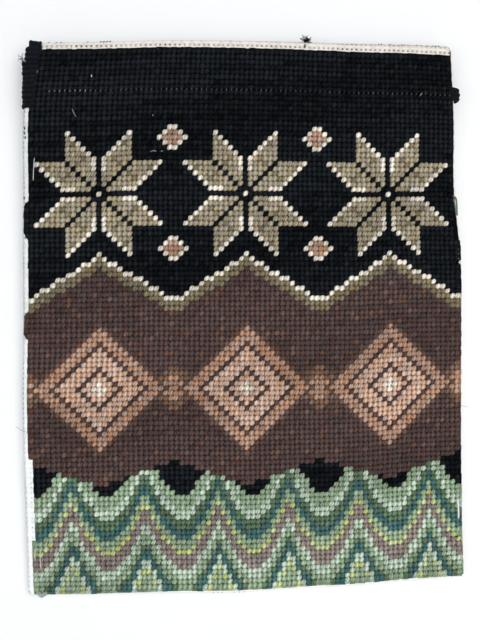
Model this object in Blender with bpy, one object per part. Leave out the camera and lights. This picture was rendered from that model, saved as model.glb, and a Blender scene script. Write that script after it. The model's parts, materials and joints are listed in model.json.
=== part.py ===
# Needlepoint wall hanging: a canvas panel worked in wool, its bare edges turned back as hems,
# and a black cloth rod sleeve sewn across the top of its back.
# Metres, +Z up. The worked face looks along -Y and the origin is the middle of the top edge.

from collections import namedtuple
from math import cos, hypot, pi, radians, sin

import bmesh
import bpy

MM = 0.001

# Worked area in millimetres, uneven as the cloth has pulled.
# Sides: share of the way down, then the distance from the centre line to the left and right edge.
Side = namedtuple("Side", "share left right")
SIDES = (
    Side(0.00, 102.6, 104.2),
    Side(0.12, 106.2, 105.9),
    Side(0.25, 106.5, 106.2),
    Side(0.38, 106.8, 110.0),
    Side(0.51, 106.8, 110.8),
    Side(0.64, 107.5, 110.8),
    Side(0.78, 106.8, 110.9),
    Side(0.89, 106.0, 111.2),
    Side(1.00, 105.2, 112.0),
)
# Ends: share of the way across, then how far the worked top and bottom lie below the top edge.
End = namedtuple("End", "share top bottom")
ENDS = (
    End(0.00, 8.3, 274.5),
    End(0.15, 7.1, 274.8),
    End(0.30, 5.5, 275.0),
    End(0.46, 4.9, 275.9),
    End(0.62, 4.9, 275.4),
    End(0.76, 5.3, 274.6),
    End(0.88, 5.3, 272.5),
    End(1.00, 5.8, 271.4),
)
# Bare canvas that shows past the wool on each edge
Margins = namedtuple("Margins", "left right top bottom")
MARGIN = Margins(3.2, 1.4, 4.9, 2.4)
# The strip along the top is this much wider at its right end, and as much narrower at its left
TOP_STRIP_WIDENS = 0.7
EDGES = ("left", "right", "top", "bottom")

# Panel: layers, folds and hems
CANVAS_THICK = 1.0
WOOL_FRONT = 0.7
WOOL_BACK = 0.25
FOLD_INSIDE = 0.35
FOLD_OUTSIDE = FOLD_INSIDE + CANVAS_THICK
FOLD_STEPS = 4
HEM_DEEP = 16.0
HEM_STEPS = 2
HEM_UNEVEN = 0.7
MITRE_GAP = 1.0
WOOL_EDGE = 0.4
PANEL_COLUMNS = 16
PANEL_ROWS = 20

# Seam of the rod sleeve, a shallow groove across the worked face
ROWS_OF_STITCHES = 108
SEAM_ROW = 8
SEAM_GROOVE = 0.5
SEAM_HALF_WIDTH = 1.6

# Slow unevenness of the hanging cloth, none where the sleeve holds it
SWAY_STARTS = 45.0
SWAY_FULL = 105.0
SWAY_WIDE = 0.8
SWAY_NARROW = 0.45

# Rod sleeve: one strip folded into a flat tube, its two edges caught in the seam
PIECE_GAP = 0.3
SLEEVE_THICK = 0.8
SLEEVE_LEFT = 107.2
SLEEVE_LEFT_LEAN = 2.6
SLEEVE_RIGHT = 105.6
SLEEVE_NUB = 4.8
SLEEVE_NUB_HALF_HEIGHT = 4.0
SLEEVE_STATIONS = 30
SLEEVE_TAIL = 7.6
SLEEVE_TAIL_RIGHT = 7.0
TAIL_UNEVEN = 0.4
POCKET_DEEP = 6.5
POCKET_ROUND = 5.4
ROUND_STEPS = 4
END_REACH = 0.03
# How far the sleeve's fold stands above the panel's top edge, from its left end to its right
Lift = namedtuple("Lift", "share above")
SLEEVE_LIFT = (
    Lift(0.00, -3.2),
    Lift(0.015, 0.3),
    Lift(0.045, 0.3),
    Lift(0.06, -0.5),
    Lift(1.00, -0.5),
)

Colour = namedtuple("Colour", "red green blue")
WOOL_COLOUR = Colour(0.075, 0.055, 0.045)
SLEEVE_COLOUR = Colour(0.012, 0.014, 0.016)


def clear_scene():
    for thing in list(bpy.data.objects):
        bpy.data.objects.remove(thing, do_unlink=True)


def mix(low, high, share):
    return low + (high - low) * share


def ease(share):
    share = min(max(share, 0.0), 1.0)
    return share * share * (3.0 - 2.0 * share)


def segment(rows, share):
    """Index of the row that starts the stretch holding this share."""
    return max(i for i in range(len(rows) - 1) if i == 0 or rows[i].share <= share)


def straight(rows, share, column):
    """Value of a column at a share of the way, on straight lines between rows."""
    low = segment(rows, share)
    part = (share - rows[low].share) / (rows[low + 1].share - rows[low].share)
    return mix(getattr(rows[low], column), getattr(rows[low + 1], column), part)


def slope(rows, i, column):
    low, high = max(i - 1, 0), min(i + 1, len(rows) - 1)
    rise = getattr(rows[high], column) - getattr(rows[low], column)
    return rise / (rows[high].share - rows[low].share)


def curved(rows, share, column):
    """Value of a column at a share of the way, on a smooth curve through the rows."""
    low = segment(rows, share)
    width = rows[low + 1].share - rows[low].share
    part = (share - rows[low].share) / width
    start = getattr(rows[low], column)
    end = getattr(rows[low + 1], column)
    bend_in = part * (1.0 - part) ** 2 * slope(rows, low, column)
    bend_out = part**2 * (1.0 - part) * slope(rows, low + 1, column)
    return mix(start, end, ease(part)) + width * (bend_in - bend_out)


def flat_margin(edge):
    """Width of bare canvas that lies flat before the fold starts."""
    return getattr(MARGIN, edge) - FOLD_OUTSIDE


def strip_widening(across):
    """How much wider than its mean the bare strip along the top is, at a share of the width."""
    return TOP_STRIP_WIDENS * (2.0 * across - 1.0)


def flat_point(across, down):
    """X and Z on the flat front of the panel, in millimetres, from shares of its width and height."""
    left = -curved(SIDES, down, "left") - flat_margin("left")
    right = curved(SIDES, down, "right") + flat_margin("right")
    top = flat_margin("top") + strip_widening(across) - curved(ENDS, across, "top")
    bottom = -curved(ENDS, across, "bottom") - flat_margin("bottom")
    return mix(left, right, across), mix(top, bottom, down)


def sway(x, z):
    """Slow wave of the cloth towards the wall and away from it."""
    held = ease((-z - SWAY_STARTS) / (SWAY_FULL - SWAY_STARTS))
    wide = SWAY_WIDE * sin(x / 30.0 + 0.6) * sin(-z / 37.0 + 0.4)
    narrow = SWAY_NARROW * sin((x - 0.4 * z) / 21.0)
    return held * (wide + narrow)


def panel_size():
    """Mean width and height of the flat front."""
    left, right = flat_point(0.0, 0.5)[0], flat_point(1.0, 0.5)[0]
    top, bottom = flat_point(0.5, 0.0)[1], flat_point(0.5, 1.0)[1]
    return right - left, top - bottom


def panel_shares(count, size, low_edge, high_edge, extra=()):
    """Shares at which the front has grid lines: the fold lines, the wool's edges and even steps between."""
    first = (flat_margin(low_edge) + WOOL_EDGE) / size
    last = 1.0 - (flat_margin(high_edge) + WOOL_EDGE) / size
    inside = [mix(first, last, i / count) for i in range(count + 1)]
    crowded = 0.6 * (last - first) / count
    kept = [s for s in inside if all(abs(s - e) > crowded for e in extra) or s in (first, last)]
    return sorted([0.0, 1.0, *kept, *extra])


def seam_depth(down, height):
    """How far the seam pulls the worked face back at a share of the way down."""
    seam = (flat_margin("top") + (height - flat_margin("top")) * SEAM_ROW / ROWS_OF_STITCHES) / height
    away = abs(down - seam) * height / SEAM_HALF_WIDTH
    return SEAM_GROOVE * max(0.0, 1.0 - away)


def seam_shares(height):
    """Shares of the grid lines that shape the seam's groove."""
    seam = (flat_margin("top") + (height - flat_margin("top")) * SEAM_ROW / ROWS_OF_STITCHES) / height
    half = SEAM_HALF_WIDTH / height
    return (seam - half, seam, seam + half)


Turn = namedtuple("Turn", "reach depth inner_reach inner_depth setback")


def turn_stations():
    """The cloth's way round a fold and along its hem: outer and inner face, and the mitre's setback."""
    stations = []
    for step in range(1, FOLD_STEPS + 1):
        angle = pi * step / FOLD_STEPS
        stations.append(
            Turn(
                FOLD_OUTSIDE * sin(angle),
                -FOLD_OUTSIDE * cos(angle),
                FOLD_INSIDE * sin(angle),
                -FOLD_INSIDE * cos(angle),
                MITRE_GAP * step / FOLD_STEPS,
            )
        )
    for step in range(1, HEM_STEPS + 1):
        back = HEM_DEEP * step / HEM_STEPS
        stations.append(Turn(-back, FOLD_OUTSIDE, -back, FOLD_INSIDE, MITRE_GAP + back))
    return stations


def hem_point(edge, along, size, reach, setback):
    """X and Z on a folded edge, at a share of the way along it and a distance out from the fold line."""
    back = setback / size
    held = mix(back, 1.0 - back, along)
    if reach < 0.0:
        reach += HEM_UNEVEN * sin(along * 17.0) * reach / HEM_DEEP
    x, z = {
        "left": lambda: flat_point(0.0, held),
        "right": lambda: flat_point(1.0, held),
        "top": lambda: flat_point(held, 0.0),
        "bottom": lambda: flat_point(held, 1.0),
    }[edge]()
    out = {"left": (-1, 0), "right": (1, 0), "top": (0, 1), "bottom": (0, -1)}[edge]
    return x + out[0] * reach, z + out[1] * reach


def placed(bm, x, depth, z):
    return bm.verts.new((x * MM, (depth + sway(x, z)) * MM, z * MM))


def panel_layers(bm):
    """Outer and inner vertices of the whole cloth: its flat front and the four turned edges."""
    width, height = panel_size()
    acrosses = panel_shares(PANEL_COLUMNS, width, "left", "right")
    downs = panel_shares(PANEL_ROWS, height, "top", "bottom", seam_shares(height))
    last = (len(acrosses) - 1, len(downs) - 1)
    outer, inner = {}, {}
    for i, across in enumerate(acrosses):
        for j, down in enumerate(downs):
            x, z = flat_point(across, down)
            bare = i in (0, last[0]) or j in (0, last[1])
            wool_front = 0.0 if bare else WOOL_FRONT - seam_depth(down, height)
            wool_back = 0.0 if bare else WOOL_BACK
            outer[i, j] = placed(bm, x, -FOLD_OUTSIDE - wool_front, z)
            inner[i, j] = placed(bm, x, -FOLD_INSIDE + wool_back, z)
    for edge in EDGES:
        upright = edge in ("left", "right")
        shares, size = (downs, height) if upright else (acrosses, width)
        for k, turn in enumerate(turn_stations(), start=1):
            spot = {"left": -k, "top": -k, "right": last[0] + k, "bottom": last[1] + k}[edge]
            for n, along in enumerate(shares):
                key = (spot, n) if upright else (n, spot)
                x, z = hem_point(edge, along, size, turn.reach, turn.setback)
                outer[key] = placed(bm, x, turn.depth, z)
                x, z = hem_point(edge, along, size, turn.inner_reach, turn.setback)
                inner[key] = placed(bm, x, turn.inner_depth, z)
    return outer, inner


def make_panel():
    """The worked canvas: one closed body, its front layer and the hems folded close behind it."""
    bm = bmesh.new()
    outer, inner = panel_layers(bm)
    rim = {}
    for i, j in list(outer):
        ring = ((i, j), (i + 1, j), (i + 1, j + 1), (i, j + 1))
        if not all(key in outer for key in ring):
            continue
        bm.faces.new([outer[key] for key in ring])
        bm.faces.new([inner[key] for key in reversed(ring)])
        for a, b in zip(ring, ring[1:] + ring[:1]):
            if (b, a) in rim:
                del rim[b, a]
            else:
                rim[a, b] = True
    for a, b in rim:
        bm.faces.new((outer[b], outer[a], inner[a], inner[b]))
    return finished("panel", bm, WOOL_COLOUR, roughness=0.95)


def sleeve_lines(share):
    """How far the sleeve's fold, seam and lower edge lie below the top edge, at a share of its length."""
    panel_top = curved(ENDS, share, "top") - MARGIN.top - strip_widening(share)
    fold = panel_top - straight(SLEEVE_LIFT, share, "above")
    worked_top = curved(ENDS, share, "top")
    worked_bottom = curved(ENDS, share, "bottom")
    seam = mix(worked_top, worked_bottom, SEAM_ROW / ROWS_OF_STITCHES)
    tail = mix(SLEEVE_TAIL, SLEEVE_TAIL_RIGHT, share) + TAIL_UNEVEN * sin(share * 23.0)
    return fold, seam, seam + tail


def pocket_section(share):
    """Inner points and outer points of the sleeve cut across, as (depth, down), and the pairing of the two."""
    fold, seam, lower = sleeve_lines(share)
    front = FOLD_OUTSIDE + PIECE_GAP
    wall = front + SLEEVE_THICK
    inner_top = fold + SLEEVE_THICK
    downs = (seam, seam - SLEEVE_NUB_HALF_HEIGHT, mix(seam, inner_top, 0.5), inner_top)
    inner = [(wall, down) for down in downs]
    outer = [(front, down, n) for n, down in enumerate(downs)]
    corner = SLEEVE_THICK * cos(pi / 4)
    outer.append((wall - corner, inner_top - corner, len(inner) - 1))
    outer.append((wall, fold, len(inner) - 1))
    for way, base in ((1, inner_top), (-1, seam)):
        steps = range(1, ROUND_STEPS + 1) if way == 1 else range(ROUND_STEPS, 0, -1)
        for step in steps:
            angle = pi / 2 * step / ROUND_STEPS
            depth = wall + POCKET_DEEP * sin(angle)
            down = base + way * POCKET_ROUND * (1.0 - cos(angle))
            lean = (sin(angle) / POCKET_DEEP, -way * cos(angle) / POCKET_ROUND)
            length = hypot(*lean)
            inner.append((depth, down))
            outer.append(
                (
                    depth + SLEEVE_THICK * lean[0] / length,
                    down + SLEEVE_THICK * lean[1] / length,
                    len(inner) - 1,
                )
            )
    back = wall + SLEEVE_THICK
    outer.append((back, seam + PIECE_GAP, 0))
    outer.append((back, mix(seam, lower, 0.5), 0))
    outer.append((back, lower - SLEEVE_THICK / 2, 0))
    outer.append((wall, lower, 0))
    outer.append((front, lower - SLEEVE_THICK / 2, 0))
    outer.append((front, mix(seam, lower, 0.5), 0))
    return inner, outer


def sleeve_x(share, down):
    """X on the sleeve: its left end leans out downwards, and its right end stands out at the seam."""
    fold, seam, lower = sleeve_lines(share)
    left = -SLEEVE_LEFT - SLEEVE_LEFT_LEAN * (down - fold) / (lower - fold)
    nub = SLEEVE_NUB * ease(1.0 - abs(down - seam) / SLEEVE_NUB_HALF_HEIGHT)
    x = mix(-SLEEVE_LEFT, SLEEVE_RIGHT, share)
    x += (left + SLEEVE_LEFT) * ease(1.0 - share / END_REACH)
    return x + nub * ease((share - 1.0 + END_REACH) / END_REACH)


def sleeve_shares():
    """Stations along the sleeve: close together at its ends, even between them."""
    ends = (0.0, END_REACH / 4, END_REACH / 2, 3 * END_REACH / 4)
    middle = [mix(END_REACH, 1.0 - END_REACH, i / SLEEVE_STATIONS) for i in range(SLEEVE_STATIONS + 1)]
    lifts = [row.share for row in SLEEVE_LIFT if END_REACH < row.share < 1.0 - END_REACH]
    return sorted({*ends, *middle, *lifts, *(1.0 - share for share in ends)})


def make_sleeve():
    """The rod sleeve: one closed body, open from end to end for the rod."""
    bm = bmesh.new()
    sections = []
    for share in sleeve_shares():
        inner, outer = pocket_section(share)
        pairs = [spot[2] for spot in outer]
        inner_ring = [
            bm.verts.new((sleeve_x(share, down) * MM, depth * MM, -down * MM)) for depth, down in inner
        ]
        outer_ring = [
            bm.verts.new((sleeve_x(share, down) * MM, depth * MM, -down * MM)) for depth, down, _ in outer
        ]
        sections.append((inner_ring, outer_ring, pairs))
    for here, there in zip(sections, sections[1:]):
        for ring, next_ring in zip(here[:2], there[:2]):
            for n, vert in enumerate(ring):
                after = (n + 1) % len(ring)
                bm.faces.new((vert, ring[after], next_ring[after], next_ring[n]))
    for inner_ring, outer_ring, pairs in (sections[0], sections[-1]):
        for n, vert in enumerate(outer_ring):
            after = (n + 1) % len(outer_ring)
            ends = [inner_ring[pairs[after]], inner_ring[pairs[n]]]
            if pairs[after] == pairs[n]:
                ends.pop()
            bm.faces.new((vert, outer_ring[after], *ends))
    return finished("rod_sleeve", bm, SLEEVE_COLOUR, roughness=0.9)


def finished(name, bm, colour, roughness):
    """An object from a closed mesh, its faces turned outwards, with its own material."""
    bmesh.ops.recalc_face_normals(bm, faces=bm.faces)
    mesh = bpy.data.meshes.new(name)
    bm.to_mesh(mesh)
    bm.free()
    mesh.shade_smooth()
    mesh.set_sharp_from_angle(angle=radians(50))
    material = bpy.data.materials.new(name)
    material.use_nodes = True
    shader = material.node_tree.nodes["Principled BSDF"]
    shader.inputs["Base Color"].default_value = (*colour, 1.0)
    shader.inputs["Roughness"].default_value = roughness
    shader.inputs["Metallic"].default_value = 0.0
    mesh.materials.append(material)
    thing = bpy.data.objects.new(name, mesh)
    bpy.context.scene.collection.objects.link(thing)
    return thing


clear_scene()
make_panel()
make_sleeve()
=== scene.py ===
# Needlepoint wall hanging: its wool, canvas, rod sleeve and sewing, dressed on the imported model.
import json
import math

import bpy
import numpy as np
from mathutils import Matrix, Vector

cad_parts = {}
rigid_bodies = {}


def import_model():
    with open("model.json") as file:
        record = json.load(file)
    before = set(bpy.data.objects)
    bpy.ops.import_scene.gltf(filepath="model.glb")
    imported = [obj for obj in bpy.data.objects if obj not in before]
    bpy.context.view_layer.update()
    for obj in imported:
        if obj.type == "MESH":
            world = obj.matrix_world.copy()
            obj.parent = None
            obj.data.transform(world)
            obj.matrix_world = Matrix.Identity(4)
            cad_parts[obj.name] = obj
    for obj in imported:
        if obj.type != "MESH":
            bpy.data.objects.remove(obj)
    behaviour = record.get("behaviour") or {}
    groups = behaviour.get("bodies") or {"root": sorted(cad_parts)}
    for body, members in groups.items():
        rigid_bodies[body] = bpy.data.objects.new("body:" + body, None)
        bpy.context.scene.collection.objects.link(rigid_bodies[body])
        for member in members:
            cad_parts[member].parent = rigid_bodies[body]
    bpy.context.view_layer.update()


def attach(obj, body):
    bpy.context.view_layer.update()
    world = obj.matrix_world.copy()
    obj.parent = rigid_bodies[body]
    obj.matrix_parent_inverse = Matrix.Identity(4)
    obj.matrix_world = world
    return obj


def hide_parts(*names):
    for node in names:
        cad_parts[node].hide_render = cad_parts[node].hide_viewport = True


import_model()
dice = np.random.default_rng(417)
millimetre = 0.001

# The cloth as it hangs, in millimetres from the middle of its top edge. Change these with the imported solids.
cloth = {
    "columns": 86,
    "rows": 108,
    "pitch": 2.5,
    "margin": {"left": 3.2, "right": 1.4, "top": 4.9, "bottom": 2.4},
    "topStripWidens": 0.7,
    "foldOutside": 1.35,
    "foldMiddle": 0.85,
    "hemDeep": 16.0,
    "mitreGap": 1.0,
    "seamRow": 8,
    "seamGroove": 0.5,
    "swayStarts": 45.0,
    "swayFull": 105.0,
    "swayWide": 0.8,
    "swayNarrow": 0.45,
    "swayWaves": (30.0, 37.0, 21.0),
    "columnFoldedTo": 0.25,  # share of the way down where the last column starts to come forward
    "columnComesOver": 0.13,
}
# share of the way down, left edge, right edge
sideRows = np.array([
    (0.00, 102.6, 104.2), (0.12, 106.2, 105.9), (0.25, 106.5, 106.2),
    (0.38, 106.8, 110.0), (0.51, 106.8, 110.8), (0.64, 107.5, 110.8),
    (0.78, 106.8, 110.9), (0.89, 106.0, 111.2), (1.00, 105.2, 112.0),
])
# share of the way across, worked top, worked bottom
endRows = np.array([
    (0.00, 8.3, 274.5), (0.15, 7.1, 274.8), (0.30, 5.5, 275.0), (0.46, 4.9, 275.9),
    (0.62, 4.9, 275.4), (0.76, 5.3, 274.6), (0.88, 5.3, 272.5), (1.00, 5.8, 271.4),
])


def mix(low, high, share):
    return low + (high - low) * share


def ease(share):
    share = np.clip(share, 0.0, 1.0)
    return share * share * (3.0 - 2.0 * share)


def curved(rows, share, column):
    # smooth curve through one column of an edge table
    spots, values = rows[:, 0], rows[:, column]
    share = np.clip(np.asarray(share, float), 0.0, 1.0)
    low = np.clip(np.searchsorted(spots, share, "right") - 1, 0, len(spots) - 2)
    before = np.maximum(np.arange(len(spots)) - 1, 0)
    after = np.minimum(np.arange(len(spots)) + 1, len(spots) - 1)
    slope = (values[after] - values[before]) / (spots[after] - spots[before])
    width = spots[low + 1] - spots[low]
    part = (share - spots[low]) / width
    bend = part * (1 - part) ** 2 * slope[low] - part**2 * (1 - part) * slope[low + 1]
    return mix(values[low], values[low + 1], ease(part)) + width * bend


def sway(x, z):
    # how far the free cloth bows to and fro, none near its held top
    held = ease((-z - cloth["swayStarts"]) / (cloth["swayFull"] - cloth["swayStarts"]))
    across, down, slanting = cloth["swayWaves"]
    wide = cloth["swayWide"] * np.sin(x / across + 0.6) * np.sin(-z / down + 0.4)
    return held * (wide + cloth["swayNarrow"] * np.sin((x - 0.4 * z) / slanting))


# Where the worked edge steps in or out by a stitch: first row, last row
edgeSteps = {
    "leftExtra": ((30, 36), (52, 56)),
    "leftShort": ((81, 97),),
    "rightShort": ((0, 37), (42, 42)),
    "rightExtra": (),
}


def holePoint(column, row):
    # x and z of a hole of the canvas; the last column is folded under in the upper part
    column, row = np.asarray(column, float), np.asarray(row, float)
    across, down = column / cloth["columns"], row / cloth["rows"]
    folded = cloth["pitch"] * (1.0 - ease((down - cloth["columnFoldedTo"]) / cloth["columnComesOver"]))
    x = mix(-curved(sideRows, down, 1), curved(sideRows, down, 2) + folded, across)
    z = -mix(curved(endRows, across, 1), curved(endRows, across, 2), down)
    # the extra stitches on the left are drawn in, most at the ends of their runs
    rounded = np.zeros(np.broadcast(x, z).shape)
    for low, high in edgeSteps["leftExtra"]:
        rounded = np.maximum(rounded, np.clip(np.minimum(row - low, high + 1 - row) * 0.55 + 0.3, 0.0, 0.88))
    return x + np.maximum(-column, 0.0) * cloth["pitch"] * (1.0 - rounded), z


def stripWidening(edge, share):
    # the bare strip along the top grows wider to the right
    return cloth["topStripWidens"] * (2.0 * share - 1.0) if edge == "top" else 0.0 * share


def seamPull(row):
    # how far the sleeve's seam draws the stitches back
    return cloth["seamGroove"] * np.clip(1.0 - abs(row - cloth["seamRow"]) / 0.9, 0.0, 1.0)


def edgePoint(edge, share):
    # x and z on the edge of the worked area; a share past 0 or 1 runs on straight
    if edge in ("left", "right"):
        side = 1 if edge == "left" else 2
        end = 0.0 if edge == "left" else 1.0
        x = curved(sideRows, share, side) * (-1 if edge == "left" else 1)
        return x, -mix(curved(endRows, end, 1), curved(endRows, end, 2), share)
    down = 0.0 if edge == "top" else 1.0
    z = -curved(endRows, share, 1 if edge == "top" else 2)
    return mix(-curved(sideRows, down, 1), curved(sideRows, down, 2), share), z


def edgeLength(edge):
    ends = [edgePoint(edge, share) for share in (0.0, 1.0)]
    return math.hypot(ends[1][0] - ends[0][0], ends[1][1] - ends[0][1])


outward = {"left": (-1.0, 0.0), "right": (1.0, 0.0), "top": (0.0, 1.0), "bottom": (0.0, -1.0)}
neighbours = {"left": ("top", "bottom"), "right": ("top", "bottom"),
              "top": ("left", "right"), "bottom": ("left", "right")}


def foldPoint(edge, share, out, proud):
    # a point on the outer side of the turned edge, with its normal:
    # share along the edge, out millimetres past the wool, proud of the canvas's middle
    flat = cloth["margin"][edge] - cloth["foldOutside"] + stripWidening(edge, share)
    beyond = out - flat
    angle = np.clip(beyond / cloth["foldMiddle"], 0.0, math.pi)
    back = np.maximum(beyond - math.pi * cloth["foldMiddle"], 0.0)
    radius = cloth["foldMiddle"] + proud
    reach = flat + np.minimum(beyond, 0.0) + radius * np.sin(angle) - back
    x, z = edgePoint(edge, share)
    x, z = x + outward[edge][0] * reach, z + outward[edge][1] * reach
    spot = np.stack([x, -radius * np.cos(angle) + sway(x, z), z], -1)
    normal = np.stack([outward[edge][0] * np.sin(angle), -np.cos(angle),
                       outward[edge][1] * np.sin(angle)], -1)
    return spot, normal


# Meshes from arrays: every yarn, thread and hair is a tube of a few sides

halfRound = np.array([(-1.0, 0.0), (-0.78, 0.62), (0.0, 1.0), (0.78, 0.62), (1.0, 0.0)])
lowArch = np.array([(-1.0, 0.0), (-0.4, 0.92), (0.4, 0.92), (1.0, 0.0)])


def roundSection(sides):
    turn = 2 * math.pi * (np.arange(sides) + 0.5) / sides
    return np.stack([-np.cos(turn), np.sin(turn)], -1)


def unit(vectors):
    return vectors / np.maximum(np.linalg.norm(vectors, axis=-1, keepdims=True), 1e-9)


def tubes(path, up, half, tall, section, seed=None, paintedDipShade=0.0):
    # path and up are (tubes, stations, 3); half, tall and the painted dip shade spread to (tubes, stations)
    count, stations, sides = path.shape[0], path.shape[1], len(section)
    along = unit(np.gradient(path, axis=1))
    across = unit(np.cross(along, up))
    up = unit(np.cross(across, along))
    half = np.broadcast_to(half, (count, stations))[..., None, None]
    tall = np.broadcast_to(tall, (count, stations))[..., None, None]
    points = (path[:, :, None] + across[:, :, None] * half * section[:, 0, None]
              + up[:, :, None] * tall * section[:, 1, None])
    index = np.arange(count * stations * sides).reshape(count, stations, sides)
    here, there = index[:, :-1], index[:, 1:]
    quads = np.stack([here, np.roll(here, -1, 2), np.roll(there, -1, 2), there], -1)
    fan = np.arange(1, sides - 1)
    first = np.stack([np.repeat(index[:, 0, :1], sides - 2, 1), index[:, 0, fan + 1], index[:, 0, fan]], -1)
    last = np.stack([np.repeat(index[:, -1, :1], sides - 2, 1),
                     index[:, -1, fan], index[:, -1, fan + 1]], -1)
    run = np.concatenate([np.zeros((count, 1)),
                          np.cumsum(np.linalg.norm(np.diff(path, axis=1), axis=-1), 1)], 1)
    seed = np.reshape(dice.random(count) if seed is None else seed, (count, -1, 1))
    shape = (count, stations, sides)
    return {
        "points": points.reshape(-1, 3),
        "quads": quads.reshape(-1, 4),
        "tris": np.concatenate([first.reshape(-1, 3), last.reshape(-1, 3)]),
        "along": np.broadcast_to(run[..., None], shape).ravel(),
        "around": np.broadcast_to(np.arange(sides) / (sides - 1), shape).ravel(),
        "seed": np.broadcast_to(seed, shape).ravel(),
        "paintedDipShade": np.broadcast_to(np.broadcast_to(paintedDipShade, (count, stations))[..., None], shape).ravel(),
    }


def joined(groups):
    start, out = 0, {key: [] for key in groups[0]}
    for group in groups:
        for key, values in group.items():
            out[key].append(values + start if key in ("quads", "tris") else values)
        start += len(group["points"])
    return {key: np.concatenate(values) for key, values in out.items()}


def makePiece(name, arrays, material):
    # one mesh object from arrays in millimetres, riding on the hanging's one body
    mesh = bpy.data.meshes.new(name)
    points = np.asarray(arrays["points"], np.float32) * millimetre
    quads = np.asarray(arrays["quads"], np.int32)
    tris = np.asarray(arrays.get("tris", np.zeros((0, 3))), np.int32)
    mesh.vertices.add(len(points))
    mesh.vertices.foreach_set("co", points.ravel())
    mesh.loops.add(quads.size + tris.size)
    mesh.loops.foreach_set("vertex_index", np.concatenate([quads.ravel(), tris.ravel()]))
    mesh.polygons.add(len(quads) + len(tris))
    starts = np.concatenate([np.arange(len(quads)) * 4, quads.size + np.arange(len(tris)) * 3])
    mesh.polygons.foreach_set("loop_start", starts.astype(np.int32))
    mesh.update(calc_edges=True)
    mesh.validate()
    for key in ("along", "around", "seed", "paintedDipShade", "bare"):
        if key in arrays:
            layer = mesh.attributes.new(key, "FLOAT", "POINT")
            layer.data.foreach_set("value", np.asarray(arrays[key], np.float32))
    mesh.shade_smooth()
    mesh.materials.append(material)
    piece = bpy.data.objects.new(name, mesh)
    bpy.context.scene.collection.objects.link(piece)
    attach(piece, "root")
    return piece


# Materials

def linear(colour):
    # screen colour, 0 to 255, to scene light
    share = np.asarray(colour, float) / 255.0
    low, high = share / 12.92, ((share + 0.055) / 1.055) ** 2.4
    return [float(v) for v in np.where(share <= 0.04045, low, high)]


def newGroup(name, inputs, outputs):
    group = bpy.data.node_groups.new(name, "ShaderNodeTree")
    for label, kind, value in inputs:
        socket = group.interface.new_socket(label, in_out="INPUT", socket_type=kind)
        if value is not None:
            socket.default_value = value
    for label, kind in outputs:
        group.interface.new_socket(label, in_out="OUTPUT", socket_type=kind)
    return group, group.nodes.new("NodeGroupInput"), group.nodes.new("NodeGroupOutput")


def mathNode(tree, operation, first, second=None, third=None):
    node = tree.nodes.new("ShaderNodeMath")
    node.operation = operation
    for socket, value in zip(node.inputs, (first, second, third)):
        if value is None:
            continue
        if isinstance(value, (int, float)):
            socket.default_value = value
        else:
            tree.links.new(value, socket)
    return node.outputs[0]


def mixColour(tree, blend, factor, first, second):
    node = tree.nodes.new("ShaderNodeMix")
    node.data_type = "RGBA"
    node.blend_type = blend
    for socket, value in ((node.inputs[0], factor), (node.inputs[6], first), (node.inputs[7], second)):
        if isinstance(value, (int, float)):
            socket.default_value = value
        elif isinstance(value, (list, tuple)):
            socket.default_value = (*value[:3], 1.0)
        else:
            tree.links.new(value, socket)
    return node.outputs[2]


def yarnPlyGroup():
    # the plies of a twisted yarn, from its length and its way round, both in the yarn's own measure; Crease
    # and Side are masks for painted shade in the ply creases and on the yarn's sides
    group, given, result = newGroup(
        "Yarn plies",
        [("Along", "NodeSocketFloat", 0.0), ("Around", "NodeSocketFloat", 0.0),
         ("Twist per mm", "NodeSocketFloat", 0.3), ("Plies", "NodeSocketFloat", 2.0),
         ("Seed", "NodeSocketFloat", 0.0)],
        [("Height", "NodeSocketFloat"), ("Crease", "NodeSocketFloat"), ("Side", "NodeSocketFloat")],
    )
    turned = mathNode(group, "MULTIPLY", given.outputs["Along"], given.outputs["Twist per mm"])
    plied = mathNode(group, "MULTIPLY", given.outputs["Around"], given.outputs["Plies"])
    phase = mathNode(group, "ADD", mathNode(group, "ADD", turned, plied), given.outputs["Seed"])
    wave = mathNode(group, "SINE", mathNode(group, "MULTIPLY", phase, 2 * math.pi))
    ridge = mathNode(group, "SQRT", mathNode(group, "MULTIPLY_ADD", wave, 0.5, 0.5))
    group.links.new(ridge, result.inputs["Height"])
    group.links.new(mathNode(group, "SUBTRACT", 1.0, ridge), result.inputs["Crease"])
    side = mathNode(group, "MULTIPLY_ADD", given.outputs["Around"], 2.0, -1.0)
    group.links.new(mathNode(group, "MULTIPLY", side, side), result.inputs["Side"])
    return group


def fibreGroup():
    # fine fibres and slow mottling, from a place in metres
    group, given, result = newGroup(
        "Wool fibres",
        [("Place", "NodeSocketVector", None), ("Fineness", "NodeSocketFloat", 5200.0),
         ("Mottle scale", "NodeSocketFloat", 160.0)],
        [("Height", "NodeSocketFloat"), ("Mottle", "NodeSocketFloat")],
    )
    fine = group.nodes.new("ShaderNodeTexNoise")
    slow = group.nodes.new("ShaderNodeTexNoise")
    for node, label in ((fine, "Fineness"), (slow, "Mottle scale")):
        group.links.new(given.outputs["Place"], node.inputs["Vector"])
        group.links.new(given.outputs[label], node.inputs["Scale"])
    fine.inputs["Detail"].default_value = 3.0
    fine.inputs["Distortion"].default_value = 1.2
    slow.inputs["Detail"].default_value = 4.0
    group.links.new(fine.outputs["Fac"], result.inputs["Height"])
    group.links.new(slow.outputs["Fac"], result.inputs["Mottle"])
    return group


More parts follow.
